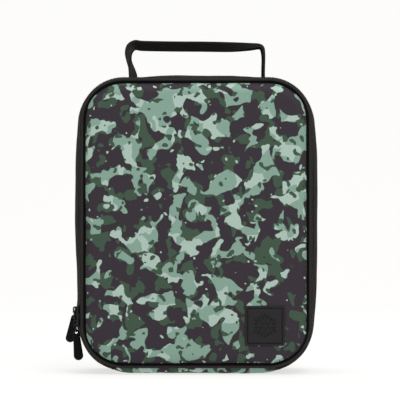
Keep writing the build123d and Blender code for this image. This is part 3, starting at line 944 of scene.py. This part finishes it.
def smooth_path(keys, count):
    """Evenly spaced points on a smooth curve through the keys, and how far along it they are."""
    ends = np.concatenate([2 * keys[:1] - keys[1:2], keys, 2 * keys[-1:] - keys[-2:-1]])
    t = np.linspace(0, 1, 40, endpoint=False)[:, None]
    pieces = [between(*ends[i:i + 4], t) for i in range(len(keys) - 1)]
    line = np.concatenate(pieces + [keys[-1:]])
    length = np.concatenate([[0], np.cumsum(np.linalg.norm(np.diff(line, axis=0), axis=1))])
    even = np.linspace(0, length[-1], count)
    return np.stack([np.interp(even, length, line[:, k]) for k in range(line.shape[1])], axis=1), even


def folded_section(fold, flatten):
    """The strap's section, folded about its middle: towards the back, into the loop, and across the cloth."""
    across = np.linspace(-1, 1, 25) * WEBBING_HALF
    angle = fold * smooth(np.abs(across) / flatten) * np.sign(across)
    step = np.diff(across)
    halfway = (angle[:-1] + angle[1:]) / 2
    side = np.concatenate([[0], np.cumsum(np.cos(halfway) * step)])
    inward = np.concatenate([[0], np.cumsum(np.sin(halfway) * step)])
    centre = len(across) // 2
    side, inward = side - side[centre], inward - inward[centre]
    lift_side, lift_inward = np.sin(angle) * WEBBING_THICKNESS / 2, -np.cos(angle) * WEBBING_THICKNESS / 2
    loop_side = np.concatenate([side + lift_side, (side - lift_side)[::-1]])
    loop_inward = np.concatenate([inward + lift_inward, (inward - lift_inward)[::-1]])
    return loop_side, loop_inward + WEBBING_THICKNESS / 2, np.concatenate([across, across[::-1]])


def softened(turned, spacing):
    """Headings along the strap, averaged over its neighbours so that it bends softly."""
    window = np.hanning(2 * int(SOFT_BEND / spacing) + 1)
    return np.convolve(np.pad(turned, len(window) // 2, mode="edge"), window / window.sum(), mode="valid")


def handle():
    """One length of webbing, folded in half along the grip and opening out to its feet."""
    path, even = smooth_path(np.array(HANDLE_LINE) * MM, 260)
    heading = np.gradient(path, axis=0)
    turned = softened(np.unwrap(np.arctan2(heading[:, 1], heading[:, 0])), even[1] - even[0])
    inward = np.stack([np.sin(turned), -np.cos(turned)], axis=1)
    from_left, from_right = even, even[-1] - even
    grip = smooth((from_left - 10 * MM) / (32 * MM)) * smooth((from_right - 16 * MM) / (62 * MM))
    twist = LEFT_TWIST * (1 - smooth(from_left / (24 * MM)))
    points, across = [], []
    for i in range(len(path)):
        fold = FOOT_FOLD + (GRIP_FOLD - FOOT_FOLD) * grip[i]
        side, inn, width = folded_section(fold, (2.2 + 3.0 * (1 - grip[i])) * MM)
        turned_side = side * math.cos(twist[i]) - inn * math.sin(twist[i])
        turned_in = side * math.sin(twist[i]) + inn * math.cos(twist[i])
        points.append(triples(path[i, 0] + inward[i, 0] * turned_in, HANDLE_DEPTH + turned_side,
                              path[i, 1] + inward[i, 1] * turned_in))
        across.append(width)
    columns = len(points[0])
    faces = flipped(grid_faces(len(path), columns, wrap_columns=True) + end_caps(len(path), columns))
    strap = add_mesh("handle_strap", np.concatenate(points), faces, MATERIALS["webbing"], slot="webbing",
                     replaces=("handle_webbing", "handle_anchor_left", "handle_anchor_right"))
    set_coordinates(strap, np.repeat(even, columns), np.concatenate(across))
    bevel = strap.modifiers.new("soft edges", "BEVEL")
    bevel.width = 0.45 * MM
    bevel.segments = 2
    bevel.limit_method = "ANGLE"
    bevel.angle_limit = math.radians(50)
    bake(strap)
    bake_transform(strap)


handle()

# ---- the badge ----

BADGE_LOW, BADGE_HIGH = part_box("badge")
BADGE_HALF = (BADGE_HIGH.x - BADGE_LOW.x) / 2
BADGE_X, BADGE_Z = (BADGE_LOW.x + BADGE_HIGH.x) / 2, (BADGE_LOW.z + BADGE_HIGH.z) / 2
BADGE_FLANGE = 2.6 * MM
BADGE_CORNER = 1.8 * MM
BADGE_RAISED = 0.9 * MM
EMBOSSED = 0.9 * MM
ARM_LENGTH = 11 * MM
ARM_HALF = 0.85 * MM
BRANCH_START = 5.2 * MM
BRANCH_REACH = 3.6 * MM


def badge_relief(x, z):
    """Height of the badge's face above its flange's foot, for (x, z) from its middle."""
    edge = BADGE_HALF - np.maximum(np.abs(x), np.abs(z))
    height = 0.95 * MM * smooth(edge / (0.45 * MM) + 0.25)
    height -= 0.5 * MM * smooth(1.5 - np.abs(edge - BADGE_FLANGE) / (0.45 * MM))
    height += BADGE_RAISED * smooth((edge - BADGE_FLANGE) / (0.5 * MM))
    radius, angle = np.hypot(x, z), np.arctan2(z, x)
    folded = np.abs((angle / (math.pi / 3)) % 1.0 - 0.5) * (math.pi / 3)
    lengthwise, sideways = radius * np.cos(folded), radius * np.sin(folded)
    arm = np.where(lengthwise < ARM_LENGTH, sideways, 1.0)
    branch = np.abs((lengthwise - BRANCH_START) - sideways * 0.9) * 0.74
    arm = np.minimum(arm, np.where(sideways < BRANCH_REACH, branch, 1.0))
    return height - EMBOSSED * smooth(1.6 - arm / ARM_HALF)


def bowl_terms(x, z):
    """The terms of a shallow curved surface over (x, z)."""
    return np.stack([np.ones_like(x), x, z, x * x, x * z, z * z], axis=-1)


def badge():
    """A moulded rubber square with a sewn-down flange, a framed face and a plain snowflake."""
    tree = BVHTree.FromObject(FRONT_PANEL, bpy.context.evaluated_depsgraph_get())
    places = np.linspace(-BADGE_HALF, BADGE_HALF, 7)
    sample_x, sample_z = (values.ravel() for values in np.meshgrid(places, places))
    seat = [tree.ray_cast(Vector((BADGE_X + x, -0.2, BADGE_Z + z)), Vector((0, 1, 0)))[0].y
            for x, z in zip(sample_x, sample_z)]
    bowl = np.linalg.lstsq(bowl_terms(sample_x, sample_z), np.array(seat), rcond=None)[0]
    count = 181
    places = np.linspace(-BADGE_HALF, BADGE_HALF, count)
    x, z = np.meshgrid(places, places)
    straight = BADGE_HALF - BADGE_CORNER
    over = np.stack([np.abs(x), np.abs(z)]) - straight
    pull = np.minimum(BADGE_CORNER / np.maximum(np.hypot(*np.maximum(over, 0)), 1e-9), 1.0)
    rounded = np.sign(np.stack([x, z])) * (straight + over * pull)
    round_x, round_z = np.where((over > 0).all(axis=0), rounded, np.stack([x, z]))
    face = bowl_terms(round_x, round_z) @ bowl
    depths = (face - badge_relief(x, z), face + 0.3 * MM)
    points = np.concatenate([triples(BADGE_X + round_x, depth, BADGE_Z + round_z) for depth in depths])
    add_mesh("badge_moulding", points, sheet_faces(count, count), MATERIALS["badge_rubber"], "lid",
             "badge_rubber", ("badge",))


badge()

# ---- sliders, links and pulls keep their CAD shapes ----


def dress(node, material, thicker=0.0):
    """Gives a CAD node its material and smooth shading, split at its sharp edges, and, given a thickness,
    thickens it all round.
    """
    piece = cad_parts[node]
    piece.data.materials.clear()
    piece.data.materials.append(MATERIALS[material])
    piece.data.shade_smooth()
    if thicker:
        piece.modifiers.new("join the faces", "WELD").merge_threshold = 0.001 * MM
        skin = piece.modifiers.new("thicker", "DISPLACE")
        skin.strength = thicker
        skin.mid_level = 0.0
    piece.modifiers.new("split at edges", "EDGE_SPLIT").split_angle = math.radians(38)


dress("upper_slider", "slider_metal", 0.2 * MM)
dress("lower_slider", "slider_metal")
dress("upper_pull_link", "slider_metal", 0.5 * MM)
dress("lower_pull_link", "slider_metal", 0.15 * MM)
dress("upper_pull_tab", "pull_rubber", 0.05 * MM)
dress("lower_pull_tab", "pull_rubber", 0.3 * MM)

# ---- the mesh pocket inside the lid ----

MESH_LOW, MESH_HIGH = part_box("pocket_mesh")
EDGING_LOW, EDGING_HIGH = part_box("pocket_edging")
HEM_LOW, HEM_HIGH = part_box("pocket_hem")
NET_PITCH = 1.7 * MM
NET_STRAND = 0.42 * MM
NET_SAG = 1.6 * MM
EDGING_WIDTH = 6 * MM
RIPPLE_PITCH = 2.6 * MM


def pocket_sag(x, z):
    """How far the pocket's net bellies into the bag."""
    across = 1 - (x / MESH_HIGH.x) ** 2
    up = np.clip((z - MESH_LOW.z) / (HEM_LOW.z - MESH_LOW.z), 0, 1)
    return NET_SAG * np.clip(across, 0, 1) * np.sin(up * math.pi * 0.75) ** 1.5


def pocket_net():
    """A knitted net of small diamonds with real holes."""
    columns = 2 * int((MESH_HIGH.x - MESH_LOW.x - 2 * MM) / NET_PITCH / 2) + 1
    rows = 2 * int((MESH_HIGH.z - MESH_LOW.z) / NET_PITCH / 2) + 1
    x, z = np.meshgrid(np.linspace(MESH_LOW.x + MM, MESH_HIGH.x - MM, columns),
                       np.linspace(MESH_LOW.z + 0.5 * MM, MESH_HIGH.z, rows))
    x, z = x.ravel(), z.ravel()
    y = (MESH_LOW.y + MESH_HIGH.y) / 2 + pocket_sag(x, z)
    y += wobble(triples(x, y, z), 0.02, 0.2 * MM, 21.0)
    faces = []
    for row in range(1, rows - 1):
        for column in range(1 + row % 2, columns - 1, 2):
            here = row * columns + column
            faces.append((here - columns, here + 1, here + columns, here - 1))
    net = add_mesh("pocket_net", triples(x, y, z), faces, MATERIALS["mesh"], "lid", "mesh", ("pocket_mesh",))
    set_coordinates(net, x, z)
    strands = net.modifiers.new("strands", "WIREFRAME")
    strands.thickness = NET_STRAND
    strands.use_even_offset = False
    bake(net)


pocket_net()


def soft_bar(name, start, end, width, thickness, slot, replaced, gather=0.0):
    """A strip of folded tape between two points inside the lid. If it is gathered, it ripples and sags."""
    start, end, face = Vector(start), Vector(end), Vector((0, 1, 0))
    length = (end - start).length
    side = (end - start).normalized().cross(face)
    rows = max(8, int(length / (1.0 * MM))) + 1
    corners = rounded_strip(-width / 2, width / 2, -thickness / 2, thickness / 2, thickness * 0.4)
    points, along, across = [], [], []
    for share in np.linspace(0, 1, rows):
        middle = start.lerp(end, share)
        if gather:
            ripple = gather * math.sin(share * length / RIPPLE_PITCH * TAU) * math.sin(share * math.pi) ** 0.3
            middle += face * (ripple + 0.6 * pocket_sag(middle.x, MESH_HIGH.z * 0.5))
        for reach, lift in corners:
            points.append(middle + side * reach + face * lift)
            along.append(share * length)
            across.append(reach)
    faces = grid_faces(rows, len(corners), wrap_columns=True) + flipped(end_caps(rows, len(corners)))
    set_coordinates(add_mesh(name, points, faces, MATERIALS[slot], "lid", slot, replaced), along, across)


def pocket_tapes():
    """The pocket's edging on three sides and its elastic hem."""
    depth, thickness = (EDGING_LOW.y + EDGING_HIGH.y) / 2, EDGING_HIGH.y - EDGING_LOW.y
    left, right = EDGING_LOW.x + EDGING_WIDTH / 2, EDGING_HIGH.x - EDGING_WIDTH / 2
    low = EDGING_LOW.z + EDGING_WIDTH / 2
    for side, start, end in (("left", (left, depth, EDGING_LOW.z), (left, depth, EDGING_HIGH.z)),
                             ("right", (right, depth, EDGING_LOW.z), (right, depth, EDGING_HIGH.z)),
                             ("bottom", (EDGING_LOW.x, depth, low), (EDGING_HIGH.x, depth, low))):
        soft_bar("pocket_edging_" + side, start, end, EDGING_WIDTH, thickness, "binding", ("pocket_edging",))
    _, depth, height = (HEM_LOW + HEM_HIGH) / 2
    soft_bar("pocket_hem_elastic", (HEM_LOW.x, depth, height), (HEM_HIGH.x, depth, height),
             HEM_HIGH.z - HEM_LOW.z, HEM_HIGH.y - HEM_LOW.y, "elastic", ("pocket_hem",), gather=0.25 * MM)


pocket_tapes()

# ---- the care label, left blank ----

LABEL_LOW, LABEL_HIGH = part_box("care_label")
LABEL_CURL = 2.2 * MM
LABEL_THICKNESS = 0.35 * MM
LABEL_GAP = 0.06 * MM


def care_label():
    """A blank satin label held along its top, its lower end curling away from the lining."""
    columns, rows = 25, 35
    across, up = np.meshgrid(np.linspace(0, 1, columns), np.linspace(0, 1, rows))
    x = LABEL_LOW.x + across * (LABEL_HIGH.x - LABEL_LOW.x)
    z = LABEL_LOW.z + up * (LABEL_HIGH.z - LABEL_LOW.z)
    curl = LABEL_CURL * (1 - up) ** 2 + 0.5 * MM * np.sin(across * math.pi) * (1 - up)
    back = LABEL_HIGH.y - curl - LABEL_GAP
    points = np.concatenate([triples(x, back - LABEL_THICKNESS, z), triples(x, back, z)])
    piece = add_mesh("care_label_cloth", points, sheet_faces(columns, rows), MATERIALS["label"], "bag",
                     "label", ("care_label",))
    set_coordinates(piece, points[:, 0], points[:, 2])


care_label()

# ---- stitching ----

STITCH = 2.7 * MM
STITCH_PITCH = 3.5 * MM
THREAD = 0.26 * MM
STITCH_RUNS = np.arange(ZIP_START + 3 * MM, ZIP_END - 3 * MM, STITCH_PITCH)

# One stitch, from end to end: its place along, its lift, and its radius.
STITCH_SHAPE = [(-0.5, -0.30, 0.5), (-0.42, 0.25, 0.9), (-0.15, 0.75, 1.0),
                (0.15, 0.75, 1.0), (0.42, 0.25, 0.9), (0.5, -0.30, 0.5)]


def stitches(name, body, depth, out):
    """A row of lockstitches beside the zip, at a depth and outward offsets from the seam line: short threads
    that dip into the cloth at both ends."""
    place, lift, radius = np.array(STITCH_SHAPE).T
    points, faces = [], []
    for x, z, nx, nz, up in zip(*outline(STITCH_RUNS), np.broadcast_to(out, STITCH_RUNS.shape)):
        outward = np.array([nx, 0.0, nz])
        direction = np.array([nz, 0.0, -nx])
        middle = np.array([x, depth, z]) + outward * up
        path = middle + np.outer(place * STITCH, direction) + np.outer(lift * THREAD, outward)
        ring, ring_faces = tube(path, radius * THREAD, 6)
        faces += [tuple(i + len(points) for i in face) for face in ring_faces]
        points += list(ring)
    add_mesh(name, points, faces, MATERIALS["thread"], body)


SIDE_ROW = SIDES_FRONT + 1.3 * MM
stitches("lid_band_stitching", "lid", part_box("lid_band")[1].y - 1.8 * MM, 1.1 * MM)
stitches("side_edge_stitching", "bag", SIDE_ROW,
         side_profile(np.array([[SIDE_ROW]]), STITCH_RUNS)[:, 0] + 0.05 * MM)

# ---- studio ----

EYE = Vector((3.55 * MM, -2.2, 157.6 * MM))
LENS = 215.1
FLOOR_HALF = 4.0
FLOOR_BEND_START, FLOOR_BEND = 1.2, 0.8
FLOOR_DROP = 0.05 * MM
FLOOR_GLOW = 0.69
SKY_STRENGTH = 0.58

# Each lamp's name, place, aim, width in metres and power in watts.
LAMPS = [("key", (0.7, -1.7, 1.9), (0, 0, 0.15), 1.5, 19.0),
         ("top", (0.0, -0.1, 2.2), (0, 0, 0.2), 1.8, 27.0)]


def studio_floor():
    """A white sweep that curves up behind the bag."""
    nodes = Nodes("studio_sweep")
    mottle = nodes.noise(nodes.place(), 900.0, detail=1.0)
    paint = nodes.mix(mottle, (0.275, 0.273, 0.268, 1.0), (0.285, 0.283, 0.278, 1.0))
    nodes.finish(paint, 0.9, None, Specular_IOR_Level=0.0, Emission_Color=(1.0, 0.995, 0.98, 1.0),
                 Emission_Strength=FLOOR_GLOW)
    profile = [(-FLOOR_HALF, 0.0), (FLOOR_BEND_START, 0.0)]
    profile += [(FLOOR_BEND_START + FLOOR_BEND * math.sin(a), FLOOR_BEND - FLOOR_BEND * math.cos(a))
                for a in np.linspace(0.05, math.pi / 2, 24)]
    profile += [(FLOOR_BEND_START + FLOOR_BEND, FLOOR_HALF)]
    points = [(x, y, z - FLOOR_DROP) for y, z in profile for x in (-FLOOR_HALF, FLOOR_HALF)]
    add_mesh("studio_floor", points, grid_faces(len(profile), 2), nodes.material)


def studio_lights():
    """Soft light from all round, a broad key light above and to the right, and a lamp overhead."""
    world = bpy.data.worlds.new("studio")
    bpy.context.scene.world = world
    world.use_nodes = True
    sky = world.node_tree.nodes["Background"].inputs
    sky["Color"].default_value = (1.0, 0.995, 0.985, 1.0)
    sky["Strength"].default_value = SKY_STRENGTH
    for name, place, aim, size, power in LAMPS:
        lamp = bpy.data.lights.new(name, "AREA")
        lamp.shape = "DISK"
        lamp.size = size
        lamp.energy = power
        light = bpy.data.objects.new(name, lamp)
        light.location = place
        light.rotation_euler = (Vector(aim) - Vector(place)).to_track_quat("-Z", "Y").to_euler()
        bpy.context.scene.collection.objects.link(light)


def studio_camera():
    """A camera level with the bag's middle."""
    lens = bpy.data.cameras.new("camera")
    lens.sensor_width = 36.0
    lens.lens = LENS
    lens.clip_start = 0.1
    camera = bpy.data.objects.new("camera", lens)
    camera.location = EYE
    camera.rotation_euler = (math.pi / 2, 0, 0)
    bpy.context.scene.collection.objects.link(camera)
    bpy.context.scene.camera = camera
    bpy.context.scene.view_settings.view_transform = "Standard"


studio_floor()
studio_lights()
studio_camera()
